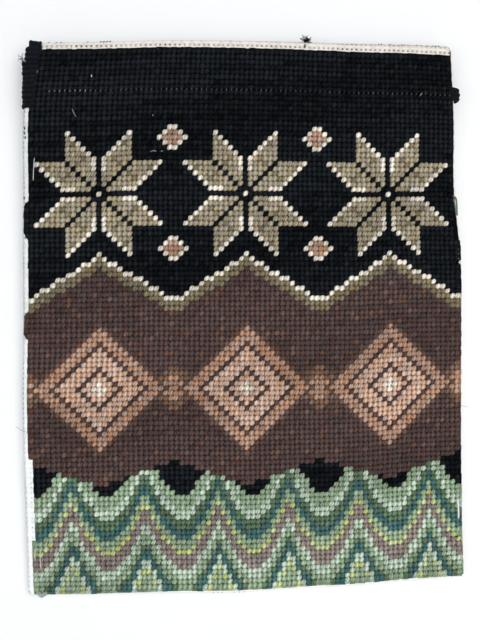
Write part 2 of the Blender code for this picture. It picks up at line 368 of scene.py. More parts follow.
def toneGroup():
    # a dye colour, made lighter or darker from yarn to yarn and along its fibres, then darkened by painted
    # shade in the ply creases, at the yarn's dips into the holes and on its sides
    group, given, result = newGroup(
        "Dye tone with painted shade",
        [("Colour", "NodeSocketColor", (0.5, 0.5, 0.5, 1.0)), ("Seed", "NodeSocketFloat", 0.5),
         ("Mottle", "NodeSocketFloat", 0.5), ("Crease", "NodeSocketFloat", 0.0),
         ("Dip", "NodeSocketFloat", 0.0), ("Seed swing", "NodeSocketFloat", 0.3),
         ("Mottle swing", "NodeSocketFloat", 0.3), ("Crease shade", "NodeSocketFloat", 0.4),
         ("Dip shade", "NodeSocketFloat", 0.6), ("Fade swing", "NodeSocketFloat", 0.0),
         ("Side", "NodeSocketFloat", 0.0), ("Side shade", "NodeSocketFloat", 0.0)],
        [("Colour", "NodeSocketColor")],
    )
    seedPart = mathNode(group, "MULTIPLY", mathNode(group, "SUBTRACT", given.outputs["Seed"], 0.5),
                        given.outputs["Seed swing"])
    mottlePart = mathNode(group, "MULTIPLY", mathNode(group, "SUBTRACT", given.outputs["Mottle"], 0.5),
                          given.outputs["Mottle swing"])
    creasePart = mathNode(group, "MULTIPLY", given.outputs["Crease"], given.outputs["Crease shade"])
    dipPart = mathNode(group, "MULTIPLY", given.outputs["Dip"], given.outputs["Dip shade"])
    gain = mathNode(group, "SUBTRACT",
                    mathNode(group, "ADD", 1.0, mathNode(group, "ADD", seedPart, mottlePart)), creasePart)
    sidePart = mathNode(group, "MULTIPLY", given.outputs["Side"], given.outputs["Side shade"])
    for part in (dipPart, sidePart):
        gain = mathNode(group, "MULTIPLY", gain, mathNode(group, "SUBTRACT", 1.0, part))
    # yarns also differ in how strongly they took the dye
    strong = mathNode(group, "SINE", mathNode(group, "MULTIPLY", given.outputs["Seed"], 41.0))
    strong = mathNode(group, "ADD", strong, mathNode(group, "SUBTRACT", given.outputs["Mottle"], 0.5))
    faded = group.nodes.new("ShaderNodeHueSaturation")
    strength = mathNode(group, "MULTIPLY_ADD", strong, given.outputs["Fade swing"], 1.0)
    group.links.new(strength, faded.inputs["Saturation"])
    group.links.new(given.outputs["Colour"], faded.inputs["Color"])
    scaled = group.nodes.new("ShaderNodeVectorMath")
    scaled.operation = "SCALE"
    group.links.new(faded.outputs["Color"], scaled.inputs[0])
    group.links.new(mathNode(group, "MAXIMUM", gain, 0.03), scaled.inputs["Scale"])
    group.links.new(scaled.outputs[0], result.inputs["Colour"])
    return group


def weaveGroup():
    # plain weave of fine cloth, from a place in metres, seen in the x and z of the cloth; Gap marks the gaps
    # between threads for painted shade
    group, given, result = newGroup(
        "Plain weave",
        [("Place", "NodeSocketVector", None), ("Threads per metre", "NodeSocketFloat", 2200.0)],
        [("Height", "NodeSocketFloat"), ("Gap", "NodeSocketFloat")],
    )
    split = group.nodes.new("ShaderNodeSeparateXYZ")
    group.links.new(given.outputs["Place"], split.inputs[0])
    waves = []
    for axis in ("X", "Z"):
        turns = mathNode(group, "MULTIPLY", split.outputs[axis], given.outputs["Threads per metre"])
        waves.append(mathNode(group, "SINE", mathNode(group, "MULTIPLY", turns, math.pi)))
    checker = mathNode(group, "MULTIPLY", waves[0], waves[1])
    group.links.new(mathNode(group, "MULTIPLY_ADD", checker, 0.5, 0.5), result.inputs["Height"])
    flat = mathNode(group, "MINIMUM", *[mathNode(group, "ABSOLUTE", wave) for wave in waves])
    gap = mathNode(group, "SUBTRACT", 1.0, mathNode(group, "MULTIPLY", flat, 3.0))
    group.links.new(gap, result.inputs["Gap"])
    return group


groups = {"plies": yarnPlyGroup(), "fibres": fibreGroup(), "tone": toneGroup(), "weave": weaveGroup()}


def placeGroup(tree, name, links=(), **values):
    node = tree.nodes.new("ShaderNodeGroup")
    node.node_tree = groups[name]
    for label, value in values.items():
        node.inputs[label.replace("_", " ")].default_value = value
    for label, source in links:
        tree.links.new(source, node.inputs[label])
    return node


def newMaterial(name):
    material = bpy.data.materials.new(name)
    material.use_nodes = True
    tree = material.node_tree
    return material, tree, tree.nodes["Principled BSDF"]


def attribute(tree, name):
    node = tree.nodes.new("ShaderNodeAttribute")
    node.attribute_name = name
    return node.outputs["Fac"]


def objectPlace(tree):
    return tree.nodes.new("ShaderNodeTexCoord").outputs["Object"]


def bumpInto(tree, shader, height, strength, distance):
    node = tree.nodes.new("ShaderNodeBump")
    node.inputs["Strength"].default_value = strength
    node.inputs["Distance"].default_value = distance
    tree.links.new(height, node.inputs["Height"])
    tree.links.new(node.outputs["Normal"], shader.inputs["Normal"])


def yarnMaterial(name, colour, look):
    material, tree, shader = newMaterial(name)
    place = objectPlace(tree)
    seed = attribute(tree, "seed")
    along, around = attribute(tree, "along"), attribute(tree, "around")
    plies = placeGroup(tree, "plies", [("Along", along), ("Around", around), ("Seed", seed)],
                       Plies=look["plies"])
    plies.inputs["Twist per mm"].default_value = look["twist"]
    fibres = placeGroup(tree, "fibres", [("Place", place)], Fineness=look["fineness"])
    # painted shade from the ply creases, the dips at the stitch ends and the yarn's sides darkens the dye
    tone = placeGroup(tree, "tone", [("Seed", seed), ("Mottle", fibres.outputs["Mottle"]),
                                     ("Crease", plies.outputs["Crease"]), ("Dip", attribute(tree, "paintedDipShade")),
                                     ("Side", plies.outputs["Side"])],
                      Colour=(*linear(colour), 1.0))
    for label in ("Seed swing", "Mottle swing", "Crease shade", "Dip shade", "Fade swing", "Side shade"):
        tone.inputs[label].default_value = look[label]
    tree.links.new(tone.outputs["Colour"], shader.inputs["Base Color"])
    height = mathNode(tree, "MULTIPLY_ADD", plies.outputs["Height"], look["plyHeight"],
                      mathNode(tree, "MULTIPLY", fibres.outputs["Height"], look["fibreHeight"]))
    bumpInto(tree, shader, height, look["bump"], look["bumpDeep"])
    rough = mathNode(tree, "MULTIPLY_ADD", fibres.outputs["Height"], 0.12, look["roughness"] - 0.06)
    tree.links.new(rough, shader.inputs["Roughness"])
    shader.inputs["Sheen Weight"].default_value = look["sheen"]
    shader.inputs["Sheen Roughness"].default_value = 0.45
    shader.inputs["Specular IOR Level"].default_value = look["specular"]
    return material


# Looks of the yarns: twist in turns a millimetre, bump depth in metres, then how far each effect goes; Crease,
# Dip and Side shade are painted shade
woolLook = {
    "plies": 2.0, "twist": 0.32, "fineness": 5200.0, "plyHeight": 0.7, "fibreHeight": 0.6,
    "bump": 0.75, "bumpDeep": 0.0004, "roughness": 0.92, "sheen": 0.015, "specular": 0.06,
    "Seed swing": 0.38, "Mottle swing": 0.45, "Fade swing": 0.16,
    "Crease shade": 0.42, "Dip shade": 0.5, "Side shade": 0.42,
}
blackLook = dict(woolLook, **{
    "Dip shade": 0.9, "Side shade": 0.8, "Seed swing": 0.9, "specular": 0.0, "sheen": 0.006,
})
threadLook = {
    "plies": 2.0, "twist": 1.6, "fineness": 9000.0, "plyHeight": 0.6, "fibreHeight": 0.3,
    "bump": 0.6, "bumpDeep": 0.0002, "roughness": 0.75, "sheen": 0.08, "specular": 0.35,
    "Seed swing": 0.2, "Mottle swing": 0.25, "Fade swing": 0.1,
    "Crease shade": 0.25, "Dip shade": 0.0, "Side shade": 0.2,
}
canvasLook = dict(threadLook, **{"twist": 0.9, "roughness": 0.82, "specular": 0.3, "Crease shade": 0.16})

# Dyes of the wool, as they look in daylight
dyes = {
    "black": (29, 32, 36),
    "ivory": (240, 230, 214),
    "stone": (172, 160, 136),
    "khaki": (134, 122, 98),
    "umber": (89, 71, 68),
    "chocolate": (108, 83, 74),
    "chestnut": (128, 100, 84),
    "rose": (186, 148, 126),
    "salmon": (216, 180, 158),
    "teal": (76, 113, 112),
    "forest": (103, 126, 99),
    "sage": (156, 177, 148),
    "mint": (197, 215, 194),
    "lime": (198, 208, 142),
    "mauve": (153, 140, 133),
}

# The chart: a generic design of stars, lozenges and Florentine flames, one name for each stitch
design = {
    "repeat": 29.0,
    "starCentres": (13.0, 42.0, 71.0),
    "starRow": 28,
    "starReach": 12,
    "petalWide": 6,
    "crossletCentres": (27.5, 56.5),
    "crossletRows": (17, 39),
    "crossletReach": 2.5,
    "beltCentres": (-1.5, 27.5, 56.5, 85.5),
    "lozengeRow": 67,
    "lozengeSteps": ((1, "ivory"), (3, "salmon"), (4, "umber"), (8, "salmon"), (9, "umber"), (12, "rose"),
                     (13, "chocolate")),
    "firstZigzag": 49,
    "firstRise": 9.0,
    "beltRow": 84,
    "beltRise": 5.0,
    "flameRow": 90,
    "flameWide": 14.34,
    "flameHigh": 11.0,
    "flameBands": (("sage", 2), ("mint", 2), ("forest", 2), ("teal", 2), ("sage", 2), ("lime", 1),
                   ("mauve", 3), ("mint", 2), ("sage", 2), ("forest", 1), ("teal", 2), ("mint", 2),
                   ("lime", 1), ("sage", 3)),
}
flameOrder = [shade for shade, deep in design["flameBands"] for _ in range(deep)]


def zigzag(column, rise):
    # rows that a zigzag line climbs at a column, sharp at its peaks over the stars
    return rise * abs((((column - design["starCentres"][0]) / design["repeat"]) % 1.0) * 2.0 - 1.0)


def starShade(across, down):
    # eight petals in pairs, light edge and stone heart, open along the axes and diagonals
    low, high = sorted((abs(across), abs(down)))
    wide, reach = design["petalWide"], design["starReach"]
    if low == 0 and high == 0:
        return "ivory"
    inside = 1 <= low <= wide and low + 1 <= high <= low + wide
    if not inside or high > reach:
        return None
    if low in (1, wide) or high - low in (1, wide):
        return "ivory" if high - low == wide or low == 1 and high > 4 else "stone"
    return "khaki" if (low + high) % 5 == 0 else "stone"


def lozengeShade(across, down):
    away = abs(across) + abs(down)
    for reach, shade in design["lozengeSteps"]:
        if away <= reach:
            return shade
    return None


def crossletShade(column, row):
    gap = min(abs(column - spot) for spot in design["crossletCentres"])
    near = min(abs(row - spot) + gap for spot in design["crossletRows"])
    if near > design["crossletReach"] or gap >= 3:
        return None
    return "ivory" if near > design["crossletReach"] - 1.0 else "rose"


def beltShade(column, row, wander):
    # lozenges joined by a belt of small ones, on brown with a few stray and seeded stitches
    away = abs(row - design["lozengeRow"])
    half = min(abs(column - spot) for spot in design["beltCentres"])
    if half + away * 0.8 < 4.5:
        return "rose" if half + away < 2.6 else "chestnut"
    seeded = row % 4 == 0 and (column + 3 * (row // 4)) % 6 == 0
    return "chocolate" if seeded or wander < 0.04 else "umber"


def flameShade(column, row):
    # Florentine flames: one order of bands, each a few stitches deep, all climbing together
    phase = abs(((column / design["flameWide"] + 0.5) % 1.0) * 2.0 - 1.0)
    step = int(row - design["flameRow"] + design["flameHigh"] * phase**1.6)
    return flameOrder[step % len(flameOrder)] if step >= 0 else None


def charted(column, row, wander):
    # the dye of one stitch; wander, from 0 to 1, lets neighbouring dyes stray into each other
    centre = min(design["starCentres"], key=lambda c: abs(column - c))
    across = int(round(column - centre))
    shade = starShade(across, row - design["starRow"])
    if shade:
        return shade
    upper = design["firstZigzag"] - zigzag(column, design["firstRise"])
    if row < upper:
        return crossletShade(column, row) or "black"
    if row < upper + 1:
        return "ivory"
    if row < upper + 3:
        return "khaki"
    if row < design["beltRow"] + zigzag(column, design["beltRise"]) - design["beltRise"] / 2:
        return lozengeShade(across, row - design["lozengeRow"]) or beltShade(column, row, wander)
    return flameShade(column, row) or "black"


def inSteps(row, name):
    return any(low <= row <= high for low, high in edgeSteps[name])


def workedCells():
    cells = []
    for row in range(cloth["rows"]):
        first = -1 if inSteps(row, "leftExtra") else 1 if inSteps(row, "leftShort") else 0
        last = cloth["columns"] - int(inSteps(row, "rightShort")) + int(inSteps(row, "rightExtra"))
        for column in range(first, last):
            cells.append((column, row))
    return np.array(cells)


# Front stitches: slanting up to the right over each crossing of the canvas
stitch = {
    "stations": (0.06, 0.27, 0.5, 0.73, 0.94),
    "lift": (-0.34, 0.10, 0.28, 0.10, -0.34),
    "tall": (0.42, 0.72, 0.86, 0.72, 0.42),
    "half": (0.96, 1.18, 1.28, 1.18, 0.96),
    # painted shade at each station, darkest at the ends where the yarn goes down into the holes
    "paintedDipShade": (1.0, 0.34, 0.0, 0.34, 1.0),
    "stray": 0.10,
    "skein": 38,
    "perPiece": 3200,
}


def lengthTone(cells):
    # each needleful of yarn has its own tone, and each stitch a little of its own
    needleful = (cells[:, 1] * 5 + (cells[:, 0] + cells[:, 1] * 13) // stitch["skein"]) % 97
    return np.clip(0.5 + 0.30 * np.sin(needleful * 2.4) + dice.normal(0, 0.16, len(cells)), 0.0, 1.0)


def frontStitches(cells):
    column, row = cells[:, 0].astype(float), cells[:, 1].astype(float)
    count = len(cells)
    share = np.array(stitch["stations"])[None, :]
    startX, startZ = holePoint(column, row + 1)
    endX, endZ = holePoint(column + 1, row)
    x = mix(startX[:, None], endX[:, None], share)
    z = mix(startZ[:, None], endZ[:, None], share)
    middle = np.sin(math.pi * share)
    x = x + middle * dice.normal(0, stitch["stray"], (count, 1))
    z = z + middle * dice.normal(0, stitch["stray"], (count, 1))
    plump = 1.0 + dice.normal(0, 0.06, (count, 1))
    lift = np.array(stitch["lift"])[None, :] + dice.normal(0, 0.05, (count, 1))
    lift = lift - seamPull(row + 0.5)[:, None]
    path = np.stack([x, -cloth["foldOutside"] - lift + sway(x, z), z], -1)
    up = np.broadcast_to(np.array([0.0, -1.0, 0.0]), path.shape)
    return tubes(path, up, np.array(stitch["half"]) * plump, np.array(stitch["tall"]) * plump, halfRound,
                 lengthTone(cells), np.array(stitch["paintedDipShade"])[None, :])


# Where a row of stitches ends, its yarn turns along the edge of the wool and fills the notches
edgeTurn = {
    "out": 0.22,
    "outRight": 0.3,
    "outRightTop": -0.6,
    "outLeft": -0.35,
    "fullLeftLow": 0.25,
    "fullBottom": 0.2,
    "fullCorner": 0.22,
    "uneven": 0.1,
    "lift": -0.12,
    "half": 0.64,
    "tall": 0.5,
}


def edgeTurns(cells, worked):
    # worked is the set of all cells; one short length of yarn on each open side of a cell
    starts, ends, outs = [], [], []
    for column, row in cells:
        for dc, dr in ((-1, 0), (1, 0), (0, -1), (0, 1)):
            if (column + dc, row + dr) in worked:
                continue
            a = (column + max(dc, 0), row + max(dr, 0))
            starts.append(a)
            ends.append((a[0], a[1] + 1) if dc else (a[0] + 1, a[1]))
            outs.append((dc, -dr))
    if not starts:
        return []
    starts, ends, outs = np.array(starts, float), np.array(ends, float), np.array(outs, float)
    share = np.array([-0.08, 0.3, 0.7, 1.08])[None, :]
    startX, startZ = holePoint(starts[:, 0], starts[:, 1])
    endX, endZ = holePoint(ends[:, 0], ends[:, 1])
    row = starts[:, 1:]
    toLeft, toRight = np.maximum(-outs[:, :1], 0.0), np.maximum(outs[:, :1], 0.0)
    leftward = np.clip(1.5 - 4.0 * starts[:, :1] / cloth["columns"], 0.0, 1.0)
    # fuller yarn reaches further out and still meets the stitches
    low, high = edgeSteps["leftShort"][0]
    atBottom = (row == cloth["rows"]) * (outs[:, 1:] < 0.0)
    full = (edgeTurn["fullBottom"] + edgeTurn["fullCorner"] * leftward) * atBottom
    full = full + edgeTurn["fullLeftLow"] * toLeft * (row >= low) * (row <= high)
    out = edgeTurn["out"] + full + edgeTurn["outRight"] * toRight
    out = out + edgeTurn["outLeft"] * toLeft * ((row < edgeSteps["leftExtra"][1][1]) | (row > high))
    out = out + edgeTurn["outRightTop"] * toRight * (row <= edgeSteps["rightShort"][0][1])
    wander = out + dice.normal(0, edgeTurn["uneven"], (len(starts), 1)) * np.ones_like(share)
    x = mix(startX[:, None], endX[:, None], share) + outs[:, :1] * wander
    z = mix(startZ[:, None], endZ[:, None], share) + outs[:, 1:] * wander
    path = np.stack([x, -cloth["foldOutside"] - edgeTurn["lift"] + sway(x, z), z], -1)
    up = np.broadcast_to(np.array([0.0, -1.0, 0.0]), path.shape)
    half = (edgeTurn["half"] + full) * np.ones_like(share)
    # the whole turn takes a little painted shade
    return [tubes(path, up, half, edgeTurn["tall"], roundSection(6), paintedDipShade=0.35)]


# Behind, each stitch slants long and low to the start of the next
backStitch = {
    "stations": (0.02, 0.5, 0.98),
    "depth": 0.45,
    "lift": (-0.15, 0.12, -0.15),
    "half": (0.45, 0.85, 0.45),
    "tall": (0.3, 0.6, 0.3),
    # painted shade at the back stitch's two ends
    "paintedDipShade": (0.7, 0.0, 0.7),
    "strayAcross": 0.12,
    "strayDown": 0.14,
    "coveredByHems": (5, 80, 11, 102),
}


def backStitches(cells):
    column, row = cells[:, 0].astype(float), cells[:, 1].astype(float)
    count = len(cells)
    share = np.array(backStitch["stations"])[None, :]
    middle = np.sin(math.pi * share)
    startX, startZ = holePoint(column + 1, row)
    endX, endZ = holePoint(column - 1, row + 1)
    strayX = middle * dice.normal(0, backStitch["strayAcross"], (count, 1))
    strayZ = middle * dice.normal(0, backStitch["strayDown"], (count, 1))
    x = mix(startX[:, None], endX[:, None], share) + strayX
    z = mix(startZ[:, None], endZ[:, None], share) + strayZ
    lift = np.array(backStitch["lift"])[None, :] + dice.normal(0, 0.05, (count, 1))
    path = np.stack([x, -backStitch["depth"] + lift + sway(x, z), z], -1)
    up = np.broadcast_to(np.array([0.0, 1.0, 0.0]), path.shape)
    plump = 1.0 + dice.normal(0, 0.08, (count, 1))
    half, tall = (np.array(backStitch[size]) * plump for size in ("half", "tall"))
    return tubes(path, up, half, tall, lowArch, paintedDipShade=np.array(backStitch["paintedDipShade"])[None, :])


def makeStitches():
    cells = workedCells()
    wander = dice.random(len(cells))
    names = np.array([charted(c, r, w) for (c, r), w in zip(cells, wander)])
    worked = {tuple(cell) for cell in cells}
    left, right, top, bottom = backStitch["coveredByHems"]
    behind = (cells[:, 0] > left) & (cells[:, 0] < right) & (cells[:, 1] > top) & (cells[:, 1] < bottom)
    for dye, colour in dyes.items():
        mine = cells[names == dye]
        if not len(mine):
            continue
        material = yarnMaterial("wool " + dye, colour, blackLook if dye == "black" else woolLook)
        parts = max(1, math.ceil(len(mine) / stitch["perPiece"]))
        for n, some in enumerate(np.array_split(mine, parts)):
            arrays = joined([frontStitches(some)] + edgeTurns(some, worked))
            makePiece(f"wool_{dye}_{n + 1}", arrays, material)
        hidden = cells[(names == dye) & behind]
        if len(hidden):
            makePiece(f"wool_back_{dye}", backStitches(hidden), material)
    print("stitches:", len(cells), {dye: int((names == dye).sum()) for dye in dyes})


# The canvas: a thin sheet under the wool, its hems turned back, with real threads where it is bare
canvas = {
    "columns": 48,
    "rows": 60,
    "foldSteps": 6,
    "hemSteps": 4,
    "nearEdge": 1.2,
    "halfThick": 0.22,
    "flat": (0.2576, 0.3129),  # metres, as cut
    "threadHalf": {"left": 1.22, "right": 1.0, "top": 0.88, "bottom": 1.0},
    "threadTall": 0.42,
    "weaveRise": 0.13,
    "dipBelowStitches": 0.8,
    # painted light and shade: the canvas cream in a copy for each edge, cooler and darker on the left, palest
    # at the bottom
    "creamWithPaintedLight": {"left": (206, 208, 208), "right": (222, 218, 212), "top": (213, 207, 199),
                "bottom": (236, 234, 230)},
    # painted light: how much paler the threads grow low down on each edge
    "paintedLightLowDown": {"left": 1.6, "right": 0.0, "top": 0.0, "bottom": 0.0},
    # painted shade seen through the holes of the bare canvas, paler in patches
    "holeShadeColour": (118, 104, 94),
    "paleHoleShadeColour": (208, 200, 190),
    "holePatches": 42.0,
    # painted shade: the sheet near black under the wool, where only shade shows between the stitches
    "paintedShadeUnderWool": (8, 7, 7),
    "frayed": 1.4,
    "drawnIn": {"left": 0.0, "right": 0.0, "top": 0.3, "bottom": 0.2},
    "uneven": 0.05,
}


def sheetStations(edge):
    # out distances of the turned edge, then the mitre's setback at each
    flat = cloth["margin"][edge] - cloth["foldOutside"]
    turn = math.pi * cloth["foldMiddle"]
    arc = [flat + turn * k / canvas["foldSteps"] for k in range(1, canvas["foldSteps"] + 1)]
    hem = [flat + turn + cloth["hemDeep"] * k / canvas["hemSteps"] for k in range(1, canvas["hemSteps"] + 1)]
    return [(out, cloth["mitreGap"] * min(1.0, (out - flat) / turn) + max(0.0, out - flat - turn))
            for out in arc + hem]


def besideShortRows(down):
    # rows on the right whose last column is folded under, so that no canvas shows beside them
    return 0.0 <= down * cloth["rows"] <= edgeSteps["rightShort"][0][1] + 1


def makeCanvasSheet():
    keys, bare = {}, []
    points = {"outer": [], "inner": []}
    width, height = edgeLength("top"), edgeLength("left")
    flats = {edge: cloth["margin"][edge] - cloth["foldOutside"] for edge in outward}

    def shares(count, low, high, length):
        near = canvas["nearEdge"] / length
        inside = [0.0, near] + list(np.linspace(0.0, 1.0, count + 1)[1:-1]) + [1.0 - near, 1.0]
        return [-low / length] + inside + [1.0 + high / length]

    acrosses = shares(canvas["columns"], flats["left"], flats["right"], width)
    downs = shares(canvas["rows"], flats["top"], flats["bottom"], height)
    lastAcross, lastDown = len(acrosses) - 1, len(downs) - 1

    def add(key, place, normal, isBare):
        keys[key] = len(bare)
        points["outer"].append(place + canvas["halfThick"] * normal)
        points["inner"].append(place - canvas["halfThick"] * normal)
        bare.append(float(isBare))

    facing = np.array([0.0, -1.0, 0.0])
    for i, across in enumerate(acrosses):
        for j, down in enumerate(downs):
            clippedAcross, clippedDown = min(max(across, 0.0), 1.0), min(max(down, 0.0), 1.0)
            x = mix(-curved(sideRows, clippedDown, 1), curved(sideRows, clippedDown, 2), across)
            z = -mix(curved(endRows, clippedAcross, 1), curved(endRows, clippedAcross, 2), down)
            z = z + (stripWidening("top", across) if down < 0.0 else 0.0)
            outside = across < 0.0 or across > 1.0 or down < 0.0 or down > 1.0
            if across > 1.0 and besideShortRows(down):
                outside = False
            x, z = float(x), float(z)
            add((i, j), np.array([x, -cloth["foldMiddle"] + sway(x, z), z]), facing, outside)
    for edge in outward:
        upright = edge in ("left", "right")
        spots, length = (downs, height) if upright else (acrosses, width)
        whole = length * (spots[-1] - spots[0])
        for k, (out, setback) in enumerate(sheetStations(edge), start=1):
            spot = {"left": -k, "top": -k, "right": lastAcross + k, "bottom": lastDown + k}[edge]
            for n, share in enumerate(spots):
                part = (share - spots[0]) / (spots[-1] - spots[0])
                squeezed = mix(setback / whole, 1.0 - setback / whole, part)
                held = spots[0] + squeezed * (spots[-1] - spots[0])
                place, normal = foldPoint(edge, held, out + stripWidening(edge, held), 0.0)
                covered = edge == "right" and k <= 2 and besideShortRows(held)
                add((spot, n) if upright else (n, spot), place, normal, not covered)
    size = len(bare)
    quads, rim = [], {}
    for i, j in keys:
        ring = ((i, j), (i + 1, j), (i + 1, j + 1), (i, j + 1))
        if not all(key in keys for key in ring):
            continue
        spots = [keys[key] for key in ring]
        quads.append(spots)
        quads.append([size + spot for spot in reversed(spots)])
        for a, b in zip(spots, spots[1:] + spots[:1]):
            if (b, a) in rim:
                del rim[b, a]
            else:
                rim[a, b] = True
    quads += [(b, a, size + a, size + b) for a, b in rim]
    arrays = {"points": np.array(points["outer"] + points["inner"]), "quads": np.array(quads),
              "bare": np.array(bare + bare)}
    return makePiece("panel_canvas", arrays, canvasSheetMaterial())


def canvasSheetMaterial():
    # near black under the wool, a painted shade between the stitches; on the bare margin, a painted shade seen
    # through the holes
    material, tree, shader = newMaterial("canvas sheet")
    place = objectPlace(tree)
    fibres = placeGroup(tree, "fibres", [("Place", place)], Fineness=3000.0)
    bare = attribute(tree, "bare")
    slow = placeGroup(tree, "fibres", [("Place", place)], Mottle_scale=canvas["holePatches"])
    patch = mathNode(tree, "MULTIPLY_ADD", slow.outputs["Mottle"], 5.0, -1.9)
    holes = mixColour(tree, "MIX", patch, linear(canvas["holeShadeColour"]), linear(canvas["paleHoleShadeColour"]))
    base = mixColour(tree, "MIX", bare, linear(canvas["paintedShadeUnderWool"]), holes)
    tone = placeGroup(tree, "tone", [("Colour", base), ("Mottle", fibres.outputs["Mottle"])])
    tree.links.new(tone.outputs["Colour"], shader.inputs["Base Color"])
    bumpInto(tree, shader, fibres.outputs["Height"], 0.5, 0.0002)
    shader.inputs["Roughness"].default_value = 0.9
    shader.inputs["Specular IOR Level"].default_value = 0.05
    return material


def crossingThreads(edge):
    # threads that leave the wool, go round the fold and end at the hem's cut edge
    upright = edge in ("left", "right")
    lines = cloth["rows"] if upright else cloth["columns"]
    length = edgeLength(edge)
    pitch = length / lines
    before, after = (cloth["margin"][side] - cloth["foldOutside"] for side in neighbours[edge])
    first, last = -int((before + pitch / 2) // pitch), lines + int((after + pitch / 2) // pitch)
    line = np.arange(first, last) + 0.5
    flat = cloth["margin"][edge] - cloth["foldOutside"] + stripWidening(edge, line / lines)
    turn = math.pi * cloth["foldMiddle"]
    room = np.minimum(line * pitch + before, length + after - line * pitch) - cloth["mitreGap"]
    back = np.clip(room, 0.0, cloth["hemDeep"] + canvas["frayed"] * dice.random(len(line)))
    longest = flat + turn + back
    # they begin at the wool's edge, a column further in or out where the edge steps
    start = np.full((len(line), 1), -0.05 * pitch)
    if upright:
        start[[inSteps(row, edge + "Extra") for row in range(first, last)]] = 0.85 * pitch
    if edge == "right":
        start[[row <= edgeSteps["rightShort"][0][1] for row in range(first, last)]] = 0.5 * pitch
    if edge == "left":
        start[[inSteps(row, "leftShort") for row in range(first, last)]] = -1.05 * pitch
    stations = int((float(np.mean(flat)) + turn + cloth["hemDeep"]) / pitch * 2) + 4
    out = start + (longest[:, None] - start) * np.linspace(0.0, 1.0, stations)[None, :]
    parity = np.arange(first, last)[:, None]
    rise = canvas["weaveRise"] * np.cos(math.pi * ((out + canvas["drawnIn"][edge]) / pitch - 0.5 + parity))
    share = np.broadcast_to((line * pitch / length)[:, None], out.shape)
    share = share + dice.normal(0, 0.05, (len(line), 1)) / length
    path, normal = foldPoint(edge, share, out, rise + 0.12)
    return tubes(path, normal, unevenHalf(edge, out.shape), canvas["threadTall"], halfRound,
                 seedWithPaintedLight(edge, share))


def unevenHalf(edge, shape):
    # half widths of threads that are slack here and tight there
    slack = dice.normal(0, 1, (shape[0], 1)) + dice.normal(0, 1, shape)
    return canvas["threadHalf"][edge] * (1.0 + canvas["uneven"] * slack)


def seedWithPaintedLight(edge, share):
    # threads vary in tone at random, and on the left painted light makes them paler low down
    return dice.random((len(share), 1)) + canvas["paintedLightLowDown"][edge] * np.clip(share, 0.0, 1.0)


def lengthThreads(edge):
    # threads that run beside the edge, on the margin, round the fold and on the hem
    upright = edge in ("left", "right")
    lines = cloth["rows"] if upright else cloth["columns"]
    length = edgeLength(edge)
    pitch = length / lines
    before, after = (cloth["margin"][side] - cloth["foldOutside"] for side in neighbours[edge])
    flat = cloth["margin"][edge] - cloth["foldOutside"]
    turn = math.pi * cloth["foldMiddle"]
    count = int((flat + turn + cloth["hemDeep"]) / pitch)
    out = (np.arange(0, count) + 0.5) * pitch - canvas["drawnIn"][edge]
    back = np.maximum(out - flat - turn, 0.0)
    back = back + cloth["mitreGap"] * np.clip((out - flat) / turn, 0.0, 1.0)
    low, high = back - before, length + after - back
    stations = lines * 2 + 1
    spot = low[:, None] + (high - low)[:, None] * np.linspace(0.0, 1.0, stations)[None, :]
    parity = np.arange(len(out))[:, None]
    rise = -canvas["weaveRise"] * np.cos(math.pi * (spot / pitch - 0.5 + parity))
    # the first one dips below the extra stitches
    for low, high in edgeSteps[edge + "Extra"] if upright else ():
        under = np.clip(np.minimum(spot[0] / pitch - low, high + 1 - spot[0] / pitch) + 0.5, 0.0, 1.0)
        rise[0] -= canvas["dipBelowStitches"] * under
    path, normal = foldPoint(edge, spot / length, np.broadcast_to(out[:, None], spot.shape), rise + 0.12)
    return tubes(path, normal, unevenHalf(edge, spot.shape), canvas["threadTall"], halfRound,
                 seedWithPaintedLight(edge, spot / length))


def bareColumnThread():
    # the upright thread that shows where the first column is left unworked
    low, high = edgeSteps["leftShort"][0]
    spot = np.linspace(low - 0.3, high + 1.3, (high - low) * 2 + 5)[None, :]
    rise = canvas["weaveRise"] * np.cos(math.pi * (spot - 0.5))
    pitch = edgeLength("left") / cloth["rows"]
    path, normal = foldPoint("left", spot / cloth["rows"], np.full(spot.shape, -0.5 * pitch), rise + 0.12)
    return tubes(path, normal, canvas["threadHalf"]["left"], canvas["threadTall"], halfRound,
                 seedWithPaintedLight("left", spot / cloth["rows"]))


def makeCanvas():
    sheet = makeCanvasSheet()
    for edge in outward:
        # lit and shaded copies of the canvas cream, one for each edge
        material = yarnMaterial("canvas thread " + edge, canvas["creamWithPaintedLight"][edge], canvasLook)
        sets = [crossingThreads(edge), lengthThreads(edge)]
        if edge == "left":
            sets.append(bareColumnThread())
        makePiece(f"canvas_threads_{edge}", joined(sets), material)
    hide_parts("panel")
    print("canvas made")


# The rod sleeve: a black strip folded into a flat tube, both edges caught in the seam
sleeve = {
    "gap": 0.3,
    "thick": 0.8,
    "left": 107.2,
    "lean": 2.6,
    "right": 105.6,
    "nub": 4.8,
    "nubHalf": 4.0,
    "tail": (7.6, 7.0),
    "pocketDeep": 7.3,
    "pocketRound": 5.2,
    "seamRound": 5.0,
    "belowSeam": 0.2,
    "tailUneven": 0.4,
    "endReach": 0.03,
    "stations": 150,
    "halfCloth": 0.33,
    "creases": (0.16, 0.10),
    "onWallFrom": 9.0,
    "colour": (22, 23, 26),
    "flat": (0.2152, 0.0715),  # metres, as cut
}
# share of the way across, how far the sleeve's fold stands above the panel's
liftRows = np.array([(0.0, -3.2), (0.015, 0.3), (0.045, 0.3), (0.06, -0.5), (1.0, -0.5)])


